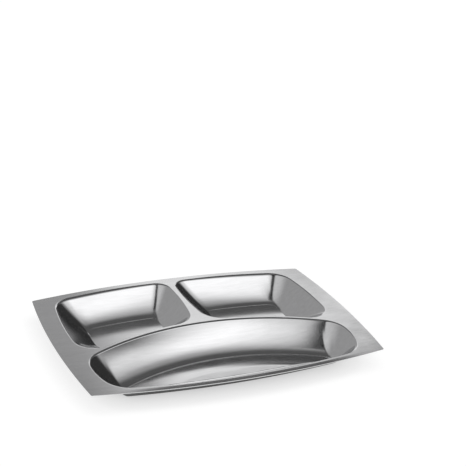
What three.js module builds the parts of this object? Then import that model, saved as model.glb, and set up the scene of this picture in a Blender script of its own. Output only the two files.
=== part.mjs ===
// Divided serving dish: one pressing of stainless sheet with three wells.
// Millimetres, +Z up, +X along the length, +Y to the rear. The origin is under the middle of the dish, where it stands.
import * as THREE from 'three';

// Overall size of the pressing
const LENGTH = 310;
const DEPTH = 215;
const HEIGHT = 20;
const SHEET = 0.8;

// Deck outline: four bowed edges that meet in sharp corners
const END_BOW = 6;
const SIDE_BOW = 13;
const DECK_CORNER_RADIUS = 1.5;

// Flat lands that the deck keeps around and between the wells
const FRONT_FLANGE = 5.5;
const REAR_FLANGE = 7;
const END_FLANGE = 23;
const CENTRE_LAND = 4.8;
const ARCH_LAND = 1.6;

// Rim of the front well, a long pan whose rear edge arches to the rear
const FRONT_WELL_SPAN = 109;
const ARCH_RISE = 36.5;
const FRONT_RIM_BOW = 11.5;
const FRONT_RIM_END_BOW = 6;
const FRONT_RIM_TAPER = 8.5;
const FRONT_RIM_NEAR_RADIUS = 27;
const FRONT_RIM_FAR_RADIUS = 22;

// Rim of a rear well, whose front edge follows the arch
const REAR_RIM_BOW = 4.5;
const REAR_RIM_SKEW = 11.3;
const REAR_RIM_TAPER = 3.4;
const REAR_RIM_OUTER_BOW = 5.2;
const REAR_RIM_INNER_BOW = 4;
const REAR_RIM_INNER_SPLAY = 2.2;
const REAR_RIM_OUTER_FRONT_RADIUS = 20.5;
const REAR_RIM_INNER_FRONT_RADIUS = 24.5;
const REAR_RIM_INNER_REAR_RADIUS = 14.5;
const REAR_RIM_OUTER_REAR_RADIUS = 25;

// Plan widths of the drawn walls, from the rim to the floor. The rear wall of a rear well takes what its floor leaves.
const REAR_RUN = 42;
const FRONT_RUN = 21.5;
const OUTER_RUN = 28;
const INNER_RUN = 27;

// Floors
const REAR_FLOOR_SPAN = 30;
const REAR_FLOOR_RADIUS = 8;
const FRONT_FLOOR_RADIUS = 4.5;
const FRONT_FLOOR_BOW = 7;
const FRONT_FLOOR_END_BOW = 1.5;
const REAR_FLOOR_BOW = 1.6;
const REAR_FLOOR_SKEW = 5.5;
const REAR_FLOOR_SIDE_BOW = 0.8;

// Share of a floor's shortest edge that the radius of its corners may take
const FILLET_ROOM = 0.4;

// Wall section: rim fillet, hollow wall that is steepest at the top, and a tight bend onto the floor.
// A steepness is a multiple of the straight slope from the rim to the floor.
const RIM_RADIUS = 2;
const FOOT_RADIUS = 5;
const TOP_STEEPNESS = 1.65;
const FOOT_STEEPNESS = 0.4;

// Facets along the outlines and down the walls
const EDGE_STEPS = 10;
const CORNER_STEPS = 6;
const RIM_STEPS = 3;
const WALL_STEPS = 4;
const FOOT_STEPS = 1;

// A straight edge is drawn as a bow this small
const STRAIGHT_BOW = 0.001;

const STEEL = { color: 0xb4b5b7, roughness: 0.3, metalness: 1 };

const point = (x, y) => new THREE.Vector2(x, y);

// Circle of an edge that bows to the right of its way from one corner to the next.
// A hollow edge has a negative bow, and then a negative radius.
function edgeCircle(from, to, bow) {
  const half = from.distanceTo(to) / 2;
  const rise = bow || STRAIGHT_BOW;
  const radius = (half * half + rise * rise) / (2 * rise);
  const along = to.clone().sub(from).normalize();
  const outward = point(along.y, -along.x);
  const centre = from.clone().add(to).multiplyScalar(0.5).addScaledVector(outward, rise - radius);
  return { centre, radius };
}

// Centre of the circle that rounds a corner between two edge circles
function cornerCentre(before, after, radius, corner) {
  const a = Math.abs(before.radius - radius);
  const b = Math.abs(after.radius - radius);
  const between = after.centre.clone().sub(before.centre);
  const gap = between.length();
  const along = between.divideScalar(gap);
  const reach = (gap * gap + a * a - b * b) / (2 * gap);
  const offset = Math.sqrt(a * a - reach * reach);
  const foot = before.centre.clone().addScaledVector(along, reach);
  const across = point(-along.y, along.x);
  const sides = [offset, -offset].map((step) => foot.clone().addScaledVector(across, step));
  return sides[0].distanceTo(corner) < sides[1].distanceTo(corner) ? sides[0] : sides[1];
}

// Point where a corner circle touches an edge circle
function touchPoint(edge, centre) {
  const away = centre.clone().sub(edge.centre).setLength(Math.abs(edge.radius));
  return edge.centre.clone().add(away);
}

// Points along an arc, without its last one
function arcPoints(centre, from, to, steps) {
  const start = from.clone().sub(centre);
  const first = start.angle();
  let turn = to.clone().sub(centre).angle() - first;
  if (turn > Math.PI) turn -= 2 * Math.PI;
  if (turn < -Math.PI) turn += 2 * Math.PI;
  const radius = start.length();
  return Array.from({ length: steps }, (_, i) => {
    const angle = first + (turn * i) / steps;
    return point(centre.x + radius * Math.cos(angle), centre.y + radius * Math.sin(angle));
  });
}

// Closed counter-clockwise outline: bowed edges between corners, each corner rounded.
// Edge i runs from corner i to the next one.
function outlinePoints({ corners, bows, radii }) {
  const count = corners.length;
  const edges = corners.map((corner, i) => edgeCircle(corner, corners[(i + 1) % count], bows[i]));
  const rounds = corners.map((corner, i) => {
    const before = edges[(i + count - 1) % count];
    const centre = cornerCentre(before, edges[i], radii[i], corner);
    return { centre, start: touchPoint(before, centre), end: touchPoint(edges[i], centre) };
  });
  return rounds.flatMap((round, i) => [
    ...arcPoints(round.centre, round.start, round.end, CORNER_STEPS),
    ...arcPoints(edges[i].centre, round.end, rounds[(i + 1) % count].start, EDGE_STEPS),
  ]);
}

// Mirror image of an outline across the middle plane of the dish, still counter-clockwise
function mirrored({ corners, bows, radii }) {
  const flipped = corners.map((corner) => point(-corner.x, corner.y)).reverse();
  const edgesBack = bows.slice(0, -1).reverse();
  return { corners: flipped, bows: [...edgesBack, bows.at(-1)], radii: [...radii].reverse() };
}

// Bow of an arc with a given radius between two points
function bowOf(from, to, radius) {
  const half = from.distanceTo(to) / 2;
  return radius - Math.sqrt(radius * radius - half * half);
}

// Corner radii of a floor, smaller where its shortest edge has no room for them
function floorRadii(radius, corners) {
  const edges = corners.map((corner, i) => corner.distanceTo(corners[(i + 1) % corners.length]));
  return Array(corners.length).fill(Math.min(radius, FILLET_ROOM * Math.min(...edges)));
}

// The arch: one circle centre for the front well's rear edge and the rear wells' front edges
const archHalf = LENGTH / 2 - END_FLANGE;
const archRadius = (archHalf * archHalf + ARCH_RISE * ARCH_RISE) / (2 * ARCH_RISE);
const frontMidY = FRONT_FLANGE - DEPTH / 2;
const archCentreY = frontMidY + FRONT_WELL_SPAN - archRadius;
const archPoint = (x, radius) => point(x, archCentreY + Math.sqrt(radius * radius - x * x));

function deckOutline() {
  const x = LENGTH / 2 - END_BOW;
  const y = DEPTH / 2 - SIDE_BOW;
  return {
    corners: [point(-x, -y), point(x, -y), point(x, y), point(-x, y)],
    bows: [SIDE_BOW, END_BOW, SIDE_BOW, END_BOW],
    radii: Array(4).fill(DECK_CORNER_RADIUS),
  };
}

function frontWell() {
  const nearX = archHalf - FRONT_RIM_TAPER;
  const nearY = frontMidY + FRONT_RIM_BOW;
  const farLeft = archPoint(-archHalf, archRadius);
  const farRight = archPoint(archHalf, archRadius);
  const floorRadius = archRadius - REAR_RUN;
  const floorX = archHalf - OUTER_RUN;
  const floorNearY = frontMidY + FRONT_RUN + FRONT_FLOOR_BOW;
  const floorCorners = [
    point(-floorX, floorNearY),
    point(floorX, floorNearY),
    archPoint(floorX, floorRadius),
    archPoint(-floorX, floorRadius),
  ];
  return {
    rim: {
      corners: [point(-nearX, nearY), point(nearX, nearY), farRight, farLeft],
      bows: [FRONT_RIM_BOW, FRONT_RIM_END_BOW, ARCH_RISE, FRONT_RIM_END_BOW],
      radii: [FRONT_RIM_NEAR_RADIUS, FRONT_RIM_NEAR_RADIUS, FRONT_RIM_FAR_RADIUS, FRONT_RIM_FAR_RADIUS],
    },
    floor: {
      corners: floorCorners,
      bows: [
        FRONT_FLOOR_BOW,
        FRONT_FLOOR_END_BOW,
        bowOf(floorCorners[2], floorCorners[3], floorRadius),
        FRONT_FLOOR_END_BOW,
      ],
      radii: floorRadii(FRONT_FLOOR_RADIUS, floorCorners),
    },
  };
}

// Corners run from the outer front one: inner front, inner rear, outer rear
function rearLeftWell() {
  const rimRadius = archRadius + ARCH_LAND;
  const innerX = CENTRE_LAND / 2 + REAR_RIM_INNER_BOW;
  const rearY = DEPTH / 2 - REAR_FLANGE;
  const rimCorners = [
    archPoint(-archHalf, rimRadius),
    archPoint(-innerX - REAR_RIM_INNER_SPLAY, rimRadius),
    point(-innerX + REAR_RIM_INNER_SPLAY, rearY),
    point(REAR_RIM_TAPER - archHalf, rearY - REAR_RIM_SKEW),
  ];
  const floorRadius = rimRadius + FRONT_RUN;
  const floorInnerX = -CENTRE_LAND / 2 - INNER_RUN;
  const floorOuterX = OUTER_RUN - archHalf;
  const floorInnerFront = archPoint(floorInnerX, floorRadius);
  const floorRearY = floorInnerFront.y + REAR_FLOOR_SPAN;
  const floorCorners = [
    archPoint(floorOuterX, floorRadius),
    floorInnerFront,
    point(floorInnerX, floorRearY),
    point(floorOuterX, floorRearY - REAR_FLOOR_SKEW),
  ];
  return {
    rim: {
      corners: rimCorners,
      bows: [
        -bowOf(rimCorners[0], rimCorners[1], rimRadius),
        REAR_RIM_INNER_BOW,
        REAR_RIM_BOW,
        REAR_RIM_OUTER_BOW,
      ],
      radii: [
        REAR_RIM_OUTER_FRONT_RADIUS,
        REAR_RIM_INNER_FRONT_RADIUS,
        REAR_RIM_INNER_REAR_RADIUS,
        REAR_RIM_OUTER_REAR_RADIUS,
      ],
    },
    floor: {
      corners: floorCorners,
      bows: [
        -bowOf(floorCorners[0], floorCorners[1], floorRadius),
        REAR_FLOOR_SIDE_BOW,
        REAR_FLOOR_BOW,
        REAR_FLOOR_SIDE_BOW,
      ],
      radii: floorRadii(REAR_FLOOR_RADIUS, floorCorners),
    },
  };
}

// Section of a wall whose plan width is run: how far in and how far down each point lies, and the slope there
function wallSection(run) {
  const fall = HEIGHT - SHEET;
  const topTilt = Math.atan((TOP_STEEPNESS * fall) / run);
  const footTilt = Math.atan((FOOT_STEEPNESS * fall) / run);
  const section = [];
  for (let i = 0; i < RIM_STEPS; i += 1) {
    const tilt = (topTilt * i) / RIM_STEPS;
    section.push({ inset: RIM_RADIUS * Math.sin(tilt), drop: RIM_RADIUS * (1 - Math.cos(tilt)), tilt });
  }
  const top = point(RIM_RADIUS * Math.sin(topTilt), RIM_RADIUS * (1 - Math.cos(topTilt)));
  const foot = point(run - FOOT_RADIUS * Math.sin(footTilt), fall - FOOT_RADIUS * (1 - Math.cos(footTilt)));
  const topSlope = Math.tan(topTilt);
  const footSlope = Math.tan(footTilt);
  const bendInset = (foot.y - top.y - footSlope * (foot.x - top.x)) / (topSlope - footSlope);
  const bend = point(top.x + bendInset, top.y + topSlope * bendInset);
  const wall = new THREE.QuadraticBezierCurve(top, bend, foot);
  for (let i = 0; i <= WALL_STEPS; i += 1) {
    const place = wall.getPoint(i / WALL_STEPS);
    const way = wall.getTangent(i / WALL_STEPS);
    section.push({ inset: place.x, drop: place.y, tilt: Math.atan2(way.y, way.x) });
  }
  for (let i = FOOT_STEPS - 1; i >= 0; i -= 1) {
    const tilt = (footTilt * i) / FOOT_STEPS;
    section.push({
      inset: run - FOOT_RADIUS * Math.sin(tilt),
      drop: fall - FOOT_RADIUS * (1 - Math.cos(tilt)),
      tilt,
    });
  }
  return section;
}

// Wall of a well: a skin from the rim ring to the floor ring, and the same skin one sheet thickness below it
function wallGeometry(rim, floor) {
  const around = rim.length;
  const upper = [];
  const lower = [];
  rim.forEach((edge, j) => {
    const inward = floor[j].clone().sub(edge);
    const run = inward.length();
    inward.divideScalar(run);
    wallSection(run).forEach(({ inset, drop, tilt }, i) => {
      const back = inset - SHEET * Math.sin(tilt);
      const height = HEIGHT - drop;
      upper[i * around + j] = [edge.x + inward.x * inset, edge.y + inward.y * inset, height];
      lower[i * around + j] = [edge.x + inward.x * back, edge.y + inward.y * back, height - SHEET * Math.cos(tilt)];
    });
  });
  const under = upper.length;
  const last = under - around;
  const index = [];
  const quad = (a, b, c, d) => index.push(a, b, c, a, c, d);
  for (let j = 0; j < around; j += 1) {
    const k = (j + 1) % around;
    for (let ring = 0; ring < last; ring += around) {
      const next = ring + around;
      quad(ring + j, ring + k, next + k, next + j);
      quad(under + ring + j, under + next + j, under + next + k, under + ring + k);
    }
    quad(k, j, under + j, under + k);
    quad(last + j, last + k, under + last + k, under + last + j);
  }
  const geometry = new THREE.BufferGeometry();
  geometry.setAttribute('position', new THREE.Float32BufferAttribute([...upper, ...lower].flat(), 3));
  geometry.setIndex(index);
  geometry.computeVertexNormals();
  return geometry;
}

// Flat region of the sheet, with holes, whose top face lies at a height
function plateGeometry(outline, holes, top) {
  const shape = new THREE.Shape(outline);
  shape.holes = holes.map((hole) => new THREE.Path([...hole].reverse()));
  const geometry = new THREE.ExtrudeGeometry(shape, { depth: SHEET, bevelEnabled: false });
  geometry.translate(0, 0, top - SHEET);
  return geometry;
}

const dish = new THREE.Group();

function addPart(name, geometry) {
  const mesh = new THREE.Mesh(geometry, new THREE.MeshStandardMaterial(STEEL));
  mesh.name = name;
  dish.add(mesh);
}

const rearLeft = rearLeftWell();
const wells = {
  rear_left: rearLeft,
  rear_right: { rim: mirrored(rearLeft.rim), floor: mirrored(rearLeft.floor) },
  front: frontWell(),
};

const rims = [];
for (const [name, well] of Object.entries(wells)) {
  const rim = outlinePoints(well.rim);
  const floor = outlinePoints(well.floor);
  addPart(`${name}_wall`, wallGeometry(rim, floor));
  addPart(`${name}_floor`, plateGeometry(floor, [], SHEET));
  rims.push(rim);
}
addPart('deck_flange', plateGeometry(outlinePoints(deckOutline()), rims, HEIGHT));

export default dish;
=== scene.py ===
import cmath
import math

import bpy
import numpy as np
from mathutils import Matrix, Vector
from mathutils.geometry import delaunay_2d_cdt


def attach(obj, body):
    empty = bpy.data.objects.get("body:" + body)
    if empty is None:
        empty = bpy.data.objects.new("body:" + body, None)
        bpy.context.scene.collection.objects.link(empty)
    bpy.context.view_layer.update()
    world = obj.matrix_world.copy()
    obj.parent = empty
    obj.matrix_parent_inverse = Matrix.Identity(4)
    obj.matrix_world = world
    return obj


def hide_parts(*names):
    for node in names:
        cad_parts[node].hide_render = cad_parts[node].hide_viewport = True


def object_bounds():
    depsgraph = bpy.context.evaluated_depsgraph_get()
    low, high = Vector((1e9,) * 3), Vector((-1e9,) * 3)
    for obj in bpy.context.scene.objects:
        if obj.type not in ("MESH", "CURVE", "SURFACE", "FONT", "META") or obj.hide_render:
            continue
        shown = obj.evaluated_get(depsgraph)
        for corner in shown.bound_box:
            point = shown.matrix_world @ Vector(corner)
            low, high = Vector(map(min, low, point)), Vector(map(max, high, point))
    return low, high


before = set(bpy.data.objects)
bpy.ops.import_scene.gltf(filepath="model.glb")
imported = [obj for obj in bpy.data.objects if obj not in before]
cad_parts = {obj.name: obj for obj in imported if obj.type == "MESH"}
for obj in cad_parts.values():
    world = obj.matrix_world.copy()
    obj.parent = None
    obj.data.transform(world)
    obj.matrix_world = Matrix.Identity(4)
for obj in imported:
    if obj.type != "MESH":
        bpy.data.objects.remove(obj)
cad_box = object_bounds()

# Divided serving dish in satin stainless sheet. The lengths below are in millimetres where nothing else is
# said. A point in plan is a complex number: its real part runs along the length, its imaginary part to the
# rear.
MM = 0.001
LENGTH, DEPTH, HEIGHT = ((high - low) / MM for low, high in zip(*cad_box))
SHEET = 0.8

# Deck outline
END_BOW = 6
SIDE_BOW = 13
DECK_CORNER_RADIUS = 1.5

# Flat lands around and between the wells
FRONT_FLANGE = 5.5
REAR_FLANGE = 7
END_FLANGE = 23
CENTRE_LAND = 4.8
ARCH_LAND = 1.6

# Rim of the front well
FRONT_WELL_SPAN = 109
ARCH_RISE = 36.5
FRONT_RIM_BOW = 11.5
FRONT_RIM_END_BOW = 6
FRONT_RIM_TAPER = 8.5
FRONT_RIM_NEAR_RADIUS = 27
FRONT_RIM_FAR_RADIUS = 27

# Rim of a rear well
REAR_RIM_BOW = 4.5
REAR_RIM_SKEW = 11.3
REAR_RIM_TAPER = 3.4
REAR_RIM_OUTER_BOW = 5.2
REAR_RIM_INNER_BOW = 4
REAR_RIM_INNER_SPLAY = 2.2
REAR_RIM_OUTER_FRONT_RADIUS = 20.5
REAR_RIM_INNER_FRONT_RADIUS = 24.5
REAR_RIM_INNER_REAR_RADIUS = 14.5
REAR_RIM_OUTER_REAR_RADIUS = 25

# Plan widths of the drawn walls
REAR_RUN = 42
FRONT_RUN = 21.5
OUTER_RUN = 28
FRONT_END_RUN = 24
INNER_RUN = 27

# Floors
REAR_FLOOR_SPAN = 30
REAR_FLOOR_RADIUS = 10
REAR_FLOOR_INNER_RADIUS = 4
REAR_FLOOR_BOW = 1.6
REAR_FLOOR_SKEW = 5.5
REAR_FLOOR_SIDE_BOW = 0.8
FRONT_FLOOR_NEAR_RADIUS = 3
FRONT_FLOOR_FAR_RADIUS = 7
FRONT_FLOOR_BOW = 7
FRONT_FLOOR_END_BOW = 0.3
FRONT_FLOOR_TAPER = -1

# The arch: one circle centre for the front well's rear edge and the rear wells' front edges
ARCH_HALF = LENGTH / 2 - END_FLANGE
ARCH_RADIUS = (ARCH_HALF**2 + ARCH_RISE**2) / (2 * ARCH_RISE)
FRONT_MID_Y = FRONT_FLANGE - DEPTH / 2
ARCH_CENTRE_Y = FRONT_MID_Y + FRONT_WELL_SPAN - ARCH_RADIUS
FRONT_FLOOR_ARCH = ARCH_RADIUS - REAR_RUN
REAR_RIM_ARCH = ARCH_RADIUS + ARCH_LAND
REAR_FLOOR_ARCH = REAR_RIM_ARCH + FRONT_RUN

# Wall section. A roll is the radius of a rear rim up to the soft tilt, and its radius past that tilt.
# Steepness is the slope at the rim and at the foot against the straight slope between them.
# A higher facing power keeps the rear and front sections closer to the middle of their sides.
SIDE_BEND_RADIUS = 4
FRONT_BEND_RADIUS = 1.6
FRONT_WELL_ROLL = (11, 2)
REAR_WELL_ROLL = (13, 10)
SOFT_TILT = math.radians(16)
FOOT_RADIUS = 3
SIDE_FOOT_RADIUS = 1.2
FRONT_WELL_STEEPNESS = (1.75, 0.3)
REAR_WELL_STEEPNESS = (1.5, 0.28)
SIDE_STEEPNESS = (1.25, 0.75)
FACING_POWER = 4

# Part of each rear rim corner, from the rear edge on, that runs down into the corner of the floor. At a
# front corner it is the whole arc.
WHOLE_FOLD = (0, 1)
FRONT_FOLD = (-0.28, 0.42)
INNER_FOLD = (0.2, 0.55)
OUTER_FOLD = (-0.5, 0.3)

# Relief of the floors. The front floor rises from its rear and front edges to a flat middle, and a rear
# floor falls from its rear edge to a flat front part. A run is the plan width of a slope, a slope is its
# steepest part, and a higher power keeps it steep for longer. The crease is the rounded start of a slope.
CROWN_SLOPE = 0.155
CROWN_REAR_RUN = 30
CROWN_FRONT_RUN = 5
CROWN_POWER = 8
FALL_SLOPE = 0.13
FALL_RUN = 24
FALL_POWER = 1
CREASE = 0.5

# Places in the flat parts of the front floor and of the left rear floor, around which their rings shrink,
# and the share of a floor that is one flat face
FRONT_MIDDLE = complex(0, -67.5)
REAR_MIDDLE = complex(-66, 31)
CORE_SHARE = 0.12

# The deck's front margin leans down a little towards the cut edge, and the lean fades out at the corners.
# The cut round is the radius of the cut edge all round the deck.
LEAN_WIDTH = 5
LEAN_DROP = 0.19
LEAN_POWER = 1.25
LEAN_END = 135
LEAN_FADE = 60
CUT_ROUND = 0.25

# Steps along the outlines, down the walls, across the leaning margin and across a floor. The grading makes
# a floor's steps finer at its edge, and a floor's slope is measured over twice the slope step. The deck's
# triangles take two points within the merge reach as one.
EDGE_STEPS = 40
CORNER_STEPS = 20
EASE_STEPS = 7
RIM_STEPS = 8
WALL_STEPS = 28
FOOT_STEPS = 8
LEAN_STEPS = 10
CUT_STEPS = 4
FLOOR_STEPS = 36
FLOOR_GRADING = 1.7
SLOPE_STEP = 0.02
MERGE_REACH = 1e-7

# Steel. The grain and the smears are drawn out along the length. A noise lies mostly between the low and the
# high value. The burnish peaks at a share of the way round the rim's bend.
NOISE_LOW = 0.3
NOISE_HIGH = 0.7
GRAIN = {"Scale": 2500, "Detail": 3, "Roughness": 0.6}
GRAIN_STRETCH = (0.02, 1, 1)
SMEAR = {"Scale": 320, "Detail": 4, "Roughness": 0.6}
SMEAR_STRETCH = (0.12, 1, 1)
SMEAR_SHARE = 0.6
CLOUD = {"Scale": 45, "Detail": 3, "Roughness": 0.5}
RIPPLE = {"Scale": 9, "Detail": 1}
TINT_LOW = (0.61, 0.61, 0.616, 1)
TINT_HIGH = (0.69, 0.69, 0.698, 1)
ROUGHNESS = (0.1, 0.15)
ROUGHNESS_PATCH = 0.02
BURNISH_SHINE = 0.03
BURNISH_MIDDLE = 0.6
GRAIN_BUMP = {"Strength": 0.15, "Distance": 0.00002}
RIPPLE_BUMP = {"Strength": 0.3, "Distance": 0.0006}

# Studio ground: half size and gap under the dish in metres, its grey, the glow that makes it white, how far
# in metres the dish shades that glow, and how strongly, as seen and as mirrored in the steel
GROUND_HALF = 12
GROUND_GAP = 0.0001
GROUND_GREY = 0.42
GROUND_GLOW = 0.81
GROUND_SHADE_REACH = 0.02
GROUND_SHADE_POWER = 0.2
MIRRORED_SHADE_POWER = 1.8

# Studio light: soft panels over an even sky, each over the ones before it, on a map of the sky seen from
# below. The zenith is (0, 0) and the horizon the circle of radius 1, with the right at +x and the rear
# at +y. A panel is its middle, half width, half height, turn in degrees, soft edge and level. The guard
# keeps the map finite straight below the dish.
SKY_LEVEL = 0.7
SKY_GUARD = 0.05
PANELS = {
    "grey_side": (-0.24, 0.285, 0.69, 0.435, -44, 0.03, 0.41),
    "top_light": (-0.02, 0.01, 0.15, 0.21, -12, 0.13, 0.77),
    "key_light": (0.18, -0.025, 0.08, 0.155, 27, 0.09, 1.56),
    "side_light": (0.355, 0.07, 0.04, 0.085, 10, 0.05, 1.1),
    "front_flag": (0.48, -0.18, 0.08, 0.2, -36, 0.07, 0.05),
    "top_slit": (0.037, 0.043, 0.031, 0.175, 27.5, 0.01, 0.02),
    "right_flag": (0.58, 0.39, 0.38, 0.25, 70, 0.07, 0.04),
    "rear_flag": (0.195, 0.38, 0.16, 0.14, -20, 0.035, 0.11),
    "rear_card": (0.31, 0.745, 0.08, 0.25, 7, 0.02, 1.04),
    "card_flag": (0.42, 0.68, 0.1, 0.12, 0, 0.03, 0.1),
}

# Camera: place, lens and sensor in millimetres, angles in degrees, and how far it sees in metres
CAMERA_PLACE = (-447.7, -947.1, 569.5)
CAMERA_AZIMUTH = -26.36
CAMERA_ELEVATION = 23.2
CAMERA_ROLL = 4.92
CAMERA_LENS = 92.25
CAMERA_SENSOR = 36
CAMERA_REACH = 100


def edge_circle(start, end, bow):
    """Centre and radius of an edge that bows to the right of its way. A hollow edge has a negative bow."""
    half = abs(end - start) / 2
    radius = (half * half + bow * bow) / (2 * bow)
    outward = -1j * (end - start) / abs(end - start)
    return (start + end) / 2 + outward * (bow - radius), radius


def edge_circles(corners, bows):
    """Circles of the four edges between four corners."""
    return [edge_circle(corner, corners[(i + 1) % 4], bows[i]) for i, corner in enumerate(corners)]


def corner_centre(before, after, radius, corner):
    """Centre of the circle of that radius that rounds the corner between two edge circles."""
    from_before = abs(before[1] - radius)
    from_after = abs(after[1] - radius)
    gap = abs(after[0] - before[0])
    along = (after[0] - before[0]) / gap
    reach = (gap * gap + from_before * from_before - from_after * from_after) / (2 * gap)
    offset = math.sqrt(from_before * from_before - reach * reach)
    sides = [before[0] + along * complex(reach, side * offset) for side in (1, -1)]
    return min(sides, key=lambda centre: abs(centre - corner))


def touch_point(edge, centre):
    """Point where a corner circle touches an edge circle."""
    away = centre - edge[0]
    return edge[0] + away / abs(away) * abs(edge[1])


def bow_of(start, end, radius):
    """Bow of an arc with a given radius between two points."""
    half = abs(end - start) / 2
    return radius - math.sqrt(radius * radius - half * half)


def outline_arcs(corners, bows, radii):
    """Arcs of a closed outline, a corner and an edge in turn, each as its centre, first and last point."""
    edges = edge_circles(corners, bows)
    centres = [corner_centre(edges[i - 1], edges[i], radii[i], corners[i]) for i in range(4)]
    starts = [touch_point(edges[i - 1], centres[i]) for i in range(4)]
    ends = [touch_point(edges[i], centres[i]) for i in range(4)]
    arcs = []
    for i in range(4):
        arcs.append((centres[i], starts[i], ends[i]))
        arcs.append((edges[i][0], ends[i], starts[(i + 1) % 4]))
    return arcs


def eased(ways, total):
    """Evens out the steps between places along a closed line of a given length, so no wall has a kink."""
    around = np.concatenate([ways[-EASE_STEPS:] - total, ways, ways[:EASE_STEPS] + total])
    window = np.hanning(2 * EASE_STEPS + 3)[1:-1]
    return np.convolve(around, window / (EASE_STEPS + 1), "valid")


def outline_points(corners, bows, radii, folds=(WHOLE_FOLD,) * 4):
    """Closed counter-clockwise outline with bowed edges and rounded corners.
    A fold is the part of the outline that meets the corner of the outline below it: 0 is the start of the
    corner's own arc and 1 its end, and it may reach into the edges beside the arc."""
    arcs = outline_arcs(corners, bows, radii)
    turns = [cmath.phase((end - centre) / (start - centre)) for centre, start, end in arcs]
    lengths = np.array([abs(turn) * abs(start - centre) for turn, (centre, start, _) in zip(turns, arcs)])
    ends = np.cumsum(lengths)
    ways = []
    for i in range(4):
        k = (i + 1) % 4
        begin = ends[2 * i] - lengths[2 * i]
        first, last = (begin + share * lengths[2 * i] for share in folds[i])
        after = ends[2 * i + 1] + folds[k][0] * lengths[2 * k]
        ways.append(np.linspace(first, last, CORNER_STEPS, endpoint=False))
        ways.append(np.linspace(last, after, EDGE_STEPS, endpoint=False))
    points = []
    for way in np.mod(eased(np.concatenate(ways), ends[-1]), ends[-1]):
        k = min(int(np.searchsorted(ends, way, side="right")), len(arcs) - 1)
        centre, start, _ = arcs[k]
        share = (way - ends[k] + lengths[k]) / lengths[k]
        points.append(centre + (start - centre) * cmath.exp(1j * turns[k] * share))
    return np.array(points)


def mirrored(outline):
    """Mirror image across the middle plane, still counter-clockwise."""
    return -outline.conjugate()[::-1]


def mirrored_fold(fold):
    """The same fold at a corner that the outline reaches from its other side."""
    return 1 - fold[1], 1 - fold[0]


def arch_point(x, radius):
    """Point on a circle about the arch's centre."""
    return complex(x, ARCH_CENTRE_Y + math.sqrt(radius * radius - x * x))


def deck_outline(inset):
    """Outline of the deck, or of a line that runs a given way inside its edge."""
    x = LENGTH / 2 - END_BOW
    y = DEPTH / 2 - SIDE_BOW
    corners = [complex(-x, -y), complex(x, -y), complex(x, y), complex(-x, y)]
    edges = edge_circles(corners, [SIDE_BOW, END_BOW, SIDE_BOW, END_BOW])
    moved = [corner_centre(edges[i - 1], edges[i], inset, corners[i]) for i in range(4)]
    bows = [bow_of(moved[i], moved[(i + 1) % 4], edges[i][1] - inset) for i in range(4)]
    return outline_points(moved, bows, [DECK_CORNER_RADIUS] * 4)


def front_rim():
    """Rim of the front well."""
    x = ARCH_HALF - FRONT_RIM_TAPER
    y = FRONT_MID_Y + FRONT_RIM_BOW
    far = arch_point(ARCH_HALF, ARCH_RADIUS)
    return outline_points(
        [complex(-x, y), complex(x, y), far, -far.conjugate()],
        [FRONT_RIM_BOW, FRONT_RIM_END_BOW, ARCH_RISE, FRONT_RIM_END_BOW],
        [FRONT_RIM_NEAR_RADIUS] * 2 + [FRONT_RIM_FAR_RADIUS] * 2,
        [WHOLE_FOLD, WHOLE_FOLD, mirrored_fold(FRONT_FOLD), FRONT_FOLD],
    )


def front_floor_corners():
    """Corners of the front well's floor, from the left front one round to the left rear one."""
    x = ARCH_HALF - FRONT_END_RUN
    y = FRONT_MID_Y + FRONT_RUN + FRONT_FLOOR_BOW
    far = arch_point(x - FRONT_FLOOR_TAPER, FRONT_FLOOR_ARCH)
    return [complex(-x, y), complex(x, y), far, -far.conjugate()]


def front_floor():
    """Outline of the front well's floor."""
    corners = front_floor_corners()
    rear_bow = bow_of(corners[2], corners[3], FRONT_FLOOR_ARCH)
    return outline_points(
        corners,
        [FRONT_FLOOR_BOW, FRONT_FLOOR_END_BOW, rear_bow, FRONT_FLOOR_END_BOW],
        [FRONT_FLOOR_NEAR_RADIUS] * 2 + [FRONT_FLOOR_FAR_RADIUS] * 2,
    )


def rear_left_rim():
    """Rim of the left rear well, from the outer front corner round to the outer rear one."""
    inner_x = CENTRE_LAND / 2 + REAR_RIM_INNER_BOW
    rear_y = DEPTH / 2 - REAR_FLANGE
    corners = [
        arch_point(-ARCH_HALF, REAR_RIM_ARCH),
        arch_point(-inner_x - REAR_RIM_INNER_SPLAY, REAR_RIM_ARCH),
        complex(REAR_RIM_INNER_SPLAY - inner_x, rear_y),
        complex(REAR_RIM_TAPER - ARCH_HALF, rear_y - REAR_RIM_SKEW),
    ]
    front_bow = -bow_of(corners[0], corners[1], REAR_RIM_ARCH)
    radii = [
        REAR_RIM_OUTER_FRONT_RADIUS,
        REAR_RIM_INNER_FRONT_RADIUS,
        REAR_RIM_INNER_REAR_RADIUS,
        REAR_RIM_OUTER_REAR_RADIUS,
    ]
    return outline_points(
        corners,
        [front_bow, REAR_RIM_INNER_BOW, REAR_RIM_BOW, REAR_RIM_OUTER_BOW],
        radii,
        [WHOLE_FOLD, WHOLE_FOLD, mirrored_fold(INNER_FOLD), OUTER_FOLD],
    )


def rear_floor_corners():
    """Corners of the left rear well's floor, from the outer front one round to the outer rear one."""
    inner_x = -CENTRE_LAND / 2 - INNER_RUN
    outer_x = OUTER_RUN - ARCH_HALF
    rear_y = arch_point(inner_x, REAR_FLOOR_ARCH).imag + REAR_FLOOR_SPAN
    return [
        arch_point(outer_x, REAR_FLOOR_ARCH),
        arch_point(inner_x, REAR_FLOOR_ARCH),
        complex(inner_x, rear_y),
        complex(outer_x, rear_y - REAR_FLOOR_SKEW),
    ]


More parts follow.
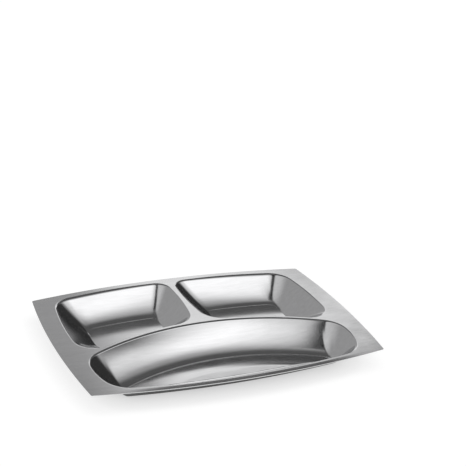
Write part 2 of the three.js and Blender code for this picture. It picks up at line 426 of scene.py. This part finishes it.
def rear_left_floor():
    """Outline of the left rear well's floor."""
    corners = rear_floor_corners()
    front_bow = -bow_of(corners[0], corners[1], REAR_FLOOR_ARCH)
    return outline_points(
        corners,
        [front_bow, REAR_FLOOR_SIDE_BOW, REAR_FLOOR_BOW, REAR_FLOOR_SIDE_BOW],
        [REAR_FLOOR_RADIUS, REAR_FLOOR_RADIUS, REAR_FLOOR_INNER_RADIUS, REAR_FLOOR_RADIUS],
    )


def smooth(share):
    """Smooth step from 0 to 1."""
    t = np.clip(share, 0, 1)
    return t * t * (3 - 2 * t)


def blend(start, end, share):
    """Value some share of the way from one value to another."""
    return start + (end - start) * share


def ramp(way, run, power):
    """Share of a slope's height reached some way along it. It starts at the crease and fades to nothing."""
    t = np.clip(way / run, 0, 1)
    rise = t - t ** (power + 1) / (power + 1)
    start = np.clip(way / CREASE, 0, 1) ** 2
    return np.where(way < CREASE, start * rise, rise) * (power + 1) / power


def ramp_height(slope, run, power):
    """Height of a ramp with a given steepest slope."""
    return slope * run * power / (power + 1)


def front_relief(plan):
    """Height of the front floor over its edges."""
    corners = front_floor_corners()
    centre, radius = edge_circle(corners[0], corners[1], FRONT_FLOOR_BOW)
    front_way = radius - np.abs(plan - centre)
    rear_way = FRONT_FLOOR_ARCH - np.abs(plan - 1j * ARCH_CENTRE_Y)
    height = ramp_height(CROWN_SLOPE, CROWN_REAR_RUN, CROWN_POWER)
    return height * ramp(rear_way, CROWN_REAR_RUN, CROWN_POWER) * smooth(front_way / CROWN_FRONT_RUN)


def rear_relief(plan):
    """Height of a rear floor over its flat front part."""
    corners = rear_floor_corners()
    centre, radius = edge_circle(corners[2], corners[3], REAR_FLOOR_BOW)
    on_left = -np.abs(plan.real) + 1j * plan.imag
    way = radius - np.abs(on_left - centre)
    return ramp_height(FALL_SLOPE, FALL_RUN, FALL_POWER) * (1 - ramp(way, FALL_RUN, FALL_POWER))


def bend_way(radius, start, end):
    """Way in and way down, as one complex number, over a bend from one tilt to another."""
    return 1j * radius * (np.exp(1j * start) - np.exp(1j * end))


def wall_section(run, height, rim_radii, foot_radius, steepness):
    """Way in, way down and tilt of each point down a wall, one column for each plan width in run."""
    top_slope, foot_slope = (steep * height / run for steep in steepness)
    rim_tilt = np.linspace(0, 1, RIM_STEPS + 1)[:, None] * np.arctan(top_slope)
    foot_tilt = np.linspace(1, 0, FOOT_STEPS + 1)[:, None] * np.arctan(foot_slope)
    soft_tilt = np.minimum(rim_tilt, SOFT_TILT)
    rim = bend_way(rim_radii[0], 0, soft_tilt) + bend_way(rim_radii[1], soft_tilt, rim_tilt)
    foot = run + 1j * height - bend_way(foot_radius, 0, foot_tilt)
    gap = foot[0] - rim[-1]
    reach = (gap.imag - foot_slope * gap.real) / (top_slope - foot_slope)
    pull = rim[-1] + reach * (1 + 1j * top_slope)
    t = np.linspace(0, 1, WALL_STEPS + 1)[:, None]
    wall = (1 - t) ** 2 * rim[-1] + 2 * t * (1 - t) * pull + t * t * foot[0]
    wall_tilt = np.angle((1 - t) * (pull - rim[-1]) + t * (foot[0] - pull))
    section = np.concatenate([rim[:-1], wall, foot[1:]])
    return section.real, section.imag, np.concatenate([rim_tilt[:-1], wall_tilt, foot_tilt[1:]])


def spatial(plan, height):
    """Points in space over points in plan."""
    return np.stack([plan.real, plan.imag, height + np.zeros(plan.shape)], axis=-1)


def tangents_around(points):
    """Direction of closed rings of points, exact to second order for uneven steps."""
    ahead = np.roll(points, -1, axis=-2) - points
    behind = points - np.roll(points, 1, axis=-2)
    step_ahead = np.linalg.norm(ahead, axis=-1, keepdims=True)
    step_behind = np.linalg.norm(behind, axis=-1, keepdims=True)
    return ahead / step_ahead * step_behind + behind / step_behind * step_ahead


def tangent_of(outline):
    """Unit direction of a closed outline at each of its points."""
    way = tangents_around(spatial(outline, 0))
    way = way[:, 0] + 1j * way[:, 1]
    return way / np.abs(way)


def ring_quads(around, ring, next_ring):
    """Quads between two rings of vertices that start at the given numbers."""
    quads = []
    for j in range(around):
        k = (j + 1) % around
        quads.append((ring + j, ring + k, next_ring + k, next_ring + j))
    return quads


def add_piece(name, node, points, normals, faces, burnish):
    """Adds a mesh that stands for a CAD node. Burnish is 1 where the press polished the sheet."""
    mesh = bpy.data.meshes.new(name)
    mesh.from_pydata((points * MM).tolist(), [], faces)
    mesh.polygons.foreach_set("use_smooth", [True] * len(mesh.polygons))
    mesh.attributes.new("burnish", "FLOAT", "POINT").data.foreach_set("value", burnish.astype(np.float32))
    normals = normals / np.linalg.norm(normals, axis=-1, keepdims=True)
    mesh.normals_split_custom_set_from_vertices(normals.tolist())
    mesh.materials.append(steel)
    piece = bpy.data.objects.new(name, mesh)
    bpy.context.scene.collection.objects.link(piece)
    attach(piece, "root")
    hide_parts(node)


def add_sheet(name, node, upper, lower, normal, closing, burnish):
    """Adds a sheet between two stacks of rings, closed along its first rings. Closing holds the faces of its
    other end, and burnish has one value for each upper ring."""
    rings, around = normal.shape[:2]
    faces = []
    for i in range(rings - 1):
        faces += ring_quads(around, i * around, (i + 1) * around)
        faces += ring_quads(around, (rings + i + 1) * around, (rings + i) * around)
    faces += ring_quads(around, rings * around, 0)
    add_piece(
        name,
        node,
        np.concatenate([upper.reshape(-1, 3), lower.reshape(-1, 3)]),
        np.concatenate([normal.reshape(-1, 3), -normal.reshape(-1, 3)]),
        faces + closing,
        np.concatenate([np.repeat(burnish, around), np.zeros(rings * around)]),
    )


def add_wall(name, node, rim, floor, relief, steepness, roll):
    """Drawn wall from a rim ring down to a floor ring. Steepness and roll are those of its rear side."""
    around = len(rim)
    run = np.abs(floor - rim)
    inward = (floor - rim) / run
    rear = np.clip(-inward.imag, 0, 1) ** FACING_POWER
    front = np.clip(inward.imag, 0, 1) ** FACING_POWER
    side_radius = blend(SIDE_BEND_RADIUS, FRONT_BEND_RADIUS, front)
    rim_radii = [blend(side_radius, radius, rear) for radius in roll]
    foot_radius = blend(SIDE_FOOT_RADIUS, FOOT_RADIUS, rear)
    steeps = [blend(side, steep, rear) for side, steep in zip(SIDE_STEEPNESS, steepness)]
    inset, drop, tilt = wall_section(run, HEIGHT - SHEET - relief(floor), rim_radii, foot_radius, steeps)
    upper = spatial(rim + inward * inset, HEIGHT - drop)
    lower = spatial(rim + inward * (inset - SHEET * np.sin(tilt)), HEIGHT - drop - SHEET * np.cos(tilt))
    down = spatial(inward * np.cos(tilt), -np.sin(tilt))
    normal = np.cross(tangents_around(upper), down)
    rings = len(upper)
    closing = ring_quads(around, (rings - 1) * around, (2 * rings - 1) * around)
    middle = BURNISH_MIDDLE * RIM_STEPS
    burnish = np.clip(1 - np.abs(np.arange(rings) - middle) / middle, 0, 1)
    add_sheet(name, node, upper, lower, normal, closing, burnish)


def add_floor(name, node, outline, middle, relief):
    """Floor of a well, one sheet thick, with its relief."""
    around = len(outline)
    share = np.linspace(0, 1, FLOOR_STEPS + 1)[:, None] ** FLOOR_GRADING
    plan = outline + (middle - outline) * share * (1 - CORE_SHARE)
    upper = spatial(plan, SHEET + relief(plan))
    lower = upper - np.array([0, 0, SHEET])
    slope_x = (relief(plan + SLOPE_STEP) - relief(plan - SLOPE_STEP)) / (2 * SLOPE_STEP)
    slope_y = (relief(plan + 1j * SLOPE_STEP) - relief(plan - 1j * SLOPE_STEP)) / (2 * SLOPE_STEP)
    normal = np.stack([-slope_x, -slope_y, np.ones(plan.shape)], axis=-1)
    rings = len(upper)
    top = (rings - 1) * around
    bottom = (2 * rings - 1) * around
    closing = [tuple(range(top, top + around)), tuple(range(bottom + around - 1, bottom - 1, -1))]
    add_sheet(name, node, upper, lower, normal, closing, np.zeros(rings))


def inside(outline, places):
    """Which places lie inside a closed outline, by the turn of its points around each."""
    spokes = outline[None, :] - places[:, None]
    turn = np.angle(np.roll(spokes, -1, axis=1) / spokes).sum(axis=1)
    return turn > math.pi


def flat_triangles(edge, holes):
    """Triangles between an outer outline and the holes in it, as numbers into their points in order."""
    loops = [edge, *holes]
    plan = np.concatenate(loops)
    sides = []
    first = 0
    for loop in loops:
        sides += [(first + i, first + (i + 1) % len(loop)) for i in range(len(loop))]
        first += len(loop)
    places = [Vector((p.real, p.imag)) for p in plan]
    _, _, faces, sources, _, _ = delaunay_2d_cdt(places, sides, [], 0, MERGE_REACH)
    triangles = np.array([[sources[i][0] for i in face] for face in faces])
    middles = plan[triangles].mean(axis=1)
    keep = inside(edge, middles)
    for hole in holes:
        keep &= ~inside(hole, middles)
    return triangles[keep]


def deck_margin():
    """Rings of points and normals over the deck's leaning margin, round its cut edge and back underneath."""
    edge = deck_outline(0)
    outward = -1j * tangent_of(edge)
    lean = np.where(edge.imag < 0, smooth((LEAN_END - np.abs(edge.real)) / LEAN_FADE), 0)
    shares = np.linspace(0, 1, LEAN_STEPS + 1)[:-1]
    turns = np.linspace(0, math.pi / 2, CUT_STEPS + 1)
    rows = [(blend(LEAN_WIDTH, CUT_ROUND, share), share, 0) for share in shares]
    rows += [(CUT_ROUND * (1 - math.sin(turn)), 1, turn) for turn in turns]
    points = []
    normals = []
    for inset, share, turn in rows:
        slope = LEAN_POWER * LEAN_DROP * share ** (LEAN_POWER - 1) / LEAN_WIDTH * lean
        tilt = np.maximum(np.arctan(slope), turn)
        drop = LEAN_DROP * share**LEAN_POWER * lean + CUT_ROUND * (1 - math.cos(turn))
        points.append(spatial(deck_outline(inset), HEIGHT - drop))
        normals.append(spatial(np.sin(tilt) * outward, np.cos(tilt)))
    for inset, share, turn in rows[::-1]:
        drop = SHEET + LEAN_DROP * share**LEAN_POWER * lean - CUT_ROUND * (1 - math.cos(turn))
        points.append(spatial(deck_outline(inset), HEIGHT - drop))
        normals.append(spatial(math.sin(turn) * outward, -math.cos(turn)))
    return points, normals


def add_deck(name, node, holes):
    """Flat deck around the wells with a rounded cut edge, to which its narrow front margin leans down."""
    points, normals = deck_margin()
    rings = len(points)
    around = len(points[0])
    faces = []
    for i in range(rings - 1):
        faces += ring_quads(around, (i + 1) * around, i * around)
    rim = np.concatenate(holes)
    base = rings * around
    upper = np.concatenate([np.arange(around), base + np.arange(len(rim))])
    lower = np.concatenate([(rings - 1) * around + np.arange(around), base + len(rim) + np.arange(len(rim))])
    triangles = flat_triangles(deck_outline(LEAN_WIDTH), holes)
    faces += [tuple(upper[t].tolist()) for t in triangles]
    faces += [tuple(lower[t[::-1]].tolist()) for t in triangles]
    first = base
    for hole in holes:
        faces += ring_quads(len(hole), first, first + len(rim))
        first += len(hole)
    points += [spatial(rim, HEIGHT), spatial(rim, HEIGHT - SHEET)]
    normals += [np.tile((0.0, 0.0, side), (len(rim), 1)) for side in (1.0, -1.0)]
    points = np.concatenate(points)
    burnish = np.zeros(len(points))
    burnish[LEAN_STEPS * around : (rings - LEAN_STEPS) * around] = 1
    add_piece(name, node, points, np.concatenate(normals), faces, burnish)


def add_node(tree, kind, inputs=(), **settings):
    """Adds a shader node. Inputs are socket values or output sockets of other nodes, in order or by name."""
    node = tree.nodes.new(kind)
    for key, value in settings.items():
        setattr(node, key, value)
    pairs = inputs.items() if isinstance(inputs, dict) else enumerate(inputs)
    for key, value in pairs:
        if isinstance(value, bpy.types.NodeSocket):
            tree.links.new(value, node.inputs[key])
        elif value is not None:
            node.inputs[key].default_value = value
    return node


def add_math(tree, operation, *values, **settings):
    """Adds a sum or another operation on numbers and gives its result."""
    return add_node(tree, "ShaderNodeMath", values, operation=operation, **settings).outputs[0]


def add_noise(tree, place, look, stretch=(1, 1, 1)):
    """Adds a noise over a place, drawn out along the axes with a small stretch, and gives its value."""
    drawn = add_node(tree, "ShaderNodeMapping", {"Vector": place, "Scale": stretch}).outputs["Vector"]
    return add_node(tree, "ShaderNodeTexNoise", {"Vector": drawn, **look}).outputs["Fac"]


def spread_noise(tree, noise, low, high):
    """Stretches a noise over a range and gives the result."""
    limits = {"From Min": NOISE_LOW, "From Max": NOISE_HIGH, "To Min": low, "To Max": high}
    return add_node(tree, "ShaderNodeMapRange", {"Value": noise, **limits}).outputs[0]


def satin_steel():
    """Fine satin grain along the length, uneven roughness, faint ripples and burnished bends."""
    material = bpy.data.materials.new("satin_steel")
    material.use_nodes = True
    tree = material.node_tree
    shader = tree.nodes["Principled BSDF"]
    place = add_node(tree, "ShaderNodeTexCoord").outputs["Object"]
    grain = add_noise(tree, place, GRAIN, GRAIN_STRETCH)
    smear = add_noise(tree, place, SMEAR, SMEAR_STRETCH)
    cloud = add_noise(tree, place, CLOUD)
    ripple = add_noise(tree, place, RIPPLE)
    burnish = add_node(tree, "ShaderNodeAttribute", attribute_name="burnish").outputs["Fac"]
    spread = spread_noise(tree, grain, *ROUGHNESS)
    patch = spread_noise(tree, cloud, -ROUGHNESS_PATCH, ROUGHNESS_PATCH)
    rough = add_math(tree, "ADD", spread, patch)
    polish = add_math(tree, "MULTIPLY_ADD", burnish, -BURNISH_SHINE, rough)
    shade = add_node(tree, "ShaderNodeMix", [SMEAR_SHARE, None, grain, smear]).outputs[0]
    tint = add_node(tree, "ShaderNodeValToRGB", {"Fac": shade})
    low, high = tint.color_ramp.elements
    low.position, low.color = NOISE_LOW, TINT_LOW
    high.position, high.color = NOISE_HIGH, TINT_HIGH
    fine = add_node(tree, "ShaderNodeBump", {"Height": grain, **GRAIN_BUMP}).outputs[0]
    bump = add_node(tree, "ShaderNodeBump", {"Height": ripple, "Normal": fine, **RIPPLE_BUMP}).outputs[0]
    tree.links.new(tint.outputs["Color"], shader.inputs["Base Color"])
    tree.links.new(polish, shader.inputs["Roughness"])
    tree.links.new(bump, shader.inputs["Normal"])
    shader.inputs["Metallic"].default_value = 1
    return material


def panel_mask(tree, chart, panel):
    """Adds the nodes of one soft panel on the map of the sky and gives its mask."""
    x, y, half_width, half_height, turn, soft, _ = panel
    place = {"Vector": chart, "Location": (x, y, 0), "Rotation": (0, 0, -math.radians(turn))}
    local = add_node(tree, "ShaderNodeMapping", place, vector_type="TEXTURE").outputs[0]
    away = add_node(tree, "ShaderNodeVectorMath", [local], operation="ABSOLUTE").outputs[0]
    sides = add_node(tree, "ShaderNodeSeparateXYZ", [away])
    masks = []
    for side, half in (("X", half_width), ("Y", half_height)):
        limits = {"From Min": half - soft, "From Max": half + soft, "To Min": 1, "To Max": 0}
        fade = {"Value": sides.outputs[side], **limits}
        mask = add_node(tree, "ShaderNodeMapRange", fade, interpolation_type="SMOOTHSTEP")
        masks.append(mask.outputs[0])
    return add_math(tree, "MULTIPLY", *masks)


def add_studio():
    """World that is white to the camera and a studio of soft panels to everything else."""
    world = bpy.data.worlds.new("studio")
    bpy.context.scene.world = world
    world.use_nodes = True
    tree = world.node_tree
    tree.nodes.clear()
    way = add_node(tree, "ShaderNodeTexCoord").outputs["Generated"]
    height = add_node(tree, "ShaderNodeSeparateXYZ", [way]).outputs["Z"]
    depth = add_math(tree, "MAXIMUM", add_math(tree, "ADD", height, 1), SKY_GUARD)
    scale = add_math(tree, "DIVIDE", 1, depth)
    chart = add_node(tree, "ShaderNodeVectorMath", {0: way, "Scale": scale}, operation="SCALE").outputs[0]
    total = SKY_LEVEL
    for panel in PANELS.values():
        mask = panel_mask(tree, chart, panel)
        total = add_node(tree, "ShaderNodeMix", [mask, None, total, panel[-1]]).outputs[0]
    path = add_node(tree, "ShaderNodeLightPath").outputs
    seen = add_math(tree, "ADD", path["Is Camera Ray"], path["Is Transmission Ray"])
    white = add_node(tree, "ShaderNodeMix", [seen, None, total, 1]).outputs[0]
    background = add_node(tree, "ShaderNodeBackground", {"Strength": white, "Color": (1, 1, 1, 1)})
    add_node(tree, "ShaderNodeOutputWorld", [background.outputs[0]])


def ground_material():
    """Matt grey with a glow, shaded by the dish, that makes it white to the camera and in the metal."""
    material = bpy.data.materials.new("studio_floor")
    material.use_nodes = True
    tree = material.node_tree
    tree.nodes.clear()
    path = add_node(tree, "ShaderNodeLightPath").outputs
    seen = add_math(tree, "ADD", path["Is Camera Ray"], path["Is Glossy Ray"])
    seen = add_math(tree, "ADD", seen, path["Is Transmission Ray"], use_clamp=True)
    direct = add_math(tree, "LESS_THAN", path["Diffuse Depth"], 1)
    seen = add_math(tree, "MULTIPLY", seen, direct)
    shade = add_node(tree, "ShaderNodeAmbientOcclusion", {"Distance": GROUND_SHADE_REACH}).outputs["AO"]
    more = MIRRORED_SHADE_POWER - GROUND_SHADE_POWER
    power = add_math(tree, "MULTIPLY_ADD", path["Is Glossy Ray"], more, GROUND_SHADE_POWER)
    shade = add_math(tree, "POWER", shade, power)
    strength = add_math(tree, "MULTIPLY", add_math(tree, "MULTIPLY", seen, GROUND_GLOW), shade)
    glow = add_node(tree, "ShaderNodeEmission", {"Strength": strength})
    matt = add_node(tree, "ShaderNodeBsdfDiffuse", {"Color": (GROUND_GREY, GROUND_GREY, GROUND_GREY, 1)})
    both = add_node(tree, "ShaderNodeAddShader", [glow.outputs[0], matt.outputs[0]])
    add_node(tree, "ShaderNodeOutputMaterial", [both.outputs[0]])
    return material


def add_ground():
    """Pale ground that keeps the shadow of the dish."""
    mesh = bpy.data.meshes.new("studio_floor")
    sides = ((-1, -1), (1, -1), (1, 1), (-1, 1))
    corners = [(x * GROUND_HALF, y * GROUND_HALF, -GROUND_GAP) for x, y in sides]
    mesh.from_pydata(corners, [], [(0, 1, 2, 3)])
    mesh.materials.append(ground_material())
    ground = bpy.data.objects.new("studio_floor", mesh)
    bpy.context.scene.collection.objects.link(ground)


def add_camera():
    """Camera at its place, turned by its azimuth and elevation and rolled about its line of sight."""
    azimuth = math.radians(CAMERA_AZIMUTH)
    elevation = math.radians(CAMERA_ELEVATION)
    roll = math.radians(CAMERA_ROLL)
    flat = math.cos(elevation)
    back = Vector((math.sin(azimuth) * flat, -math.cos(azimuth) * flat, math.sin(elevation)))
    right = (-back).cross(Vector((0, 0, 1))).normalized()
    up = right.cross(-back)
    side = right * math.cos(roll) + up * math.sin(roll)
    top = up * math.cos(roll) - right * math.sin(roll)
    data = bpy.data.cameras.new("camera")
    data.lens = CAMERA_LENS
    data.sensor_width = CAMERA_SENSOR
    data.clip_end = CAMERA_REACH
    camera = bpy.data.objects.new("camera", data)
    turn = Matrix((side, top, back)).transposed().to_4x4()
    camera.matrix_world = Matrix.Translation(Vector(CAMERA_PLACE) * MM) @ turn
    bpy.context.scene.collection.objects.link(camera)
    bpy.context.scene.camera = camera


# The dish
steel = satin_steel()
front_edge, front_foot = front_rim(), front_floor()
left_edge, left_foot = rear_left_rim(), rear_left_floor()
right_edge, right_foot = mirrored(left_edge), mirrored(left_foot)
front_form = (front_relief, FRONT_WELL_STEEPNESS, FRONT_WELL_ROLL)
rear_form = (rear_relief, REAR_WELL_STEEPNESS, REAR_WELL_ROLL)
add_wall("front_well_wall", "front_wall", front_edge, front_foot, *front_form)
add_wall("rear_left_well_wall", "rear_left_wall", left_edge, left_foot, *rear_form)
add_wall("rear_right_well_wall", "rear_right_wall", right_edge, right_foot, *rear_form)
add_floor("front_well_floor", "front_floor", front_foot, FRONT_MIDDLE, front_relief)
add_floor("rear_left_well_floor", "rear_left_floor", left_foot, REAR_MIDDLE, rear_relief)
add_floor("rear_right_well_floor", "rear_right_floor", right_foot, -REAR_MIDDLE.conjugate(), rear_relief)
add_deck("deck", "deck_flange", [front_edge, left_edge, right_edge])

# The studio
add_studio()
add_ground()
add_camera()
bpy.context.scene.view_settings.view_transform = "Standard"
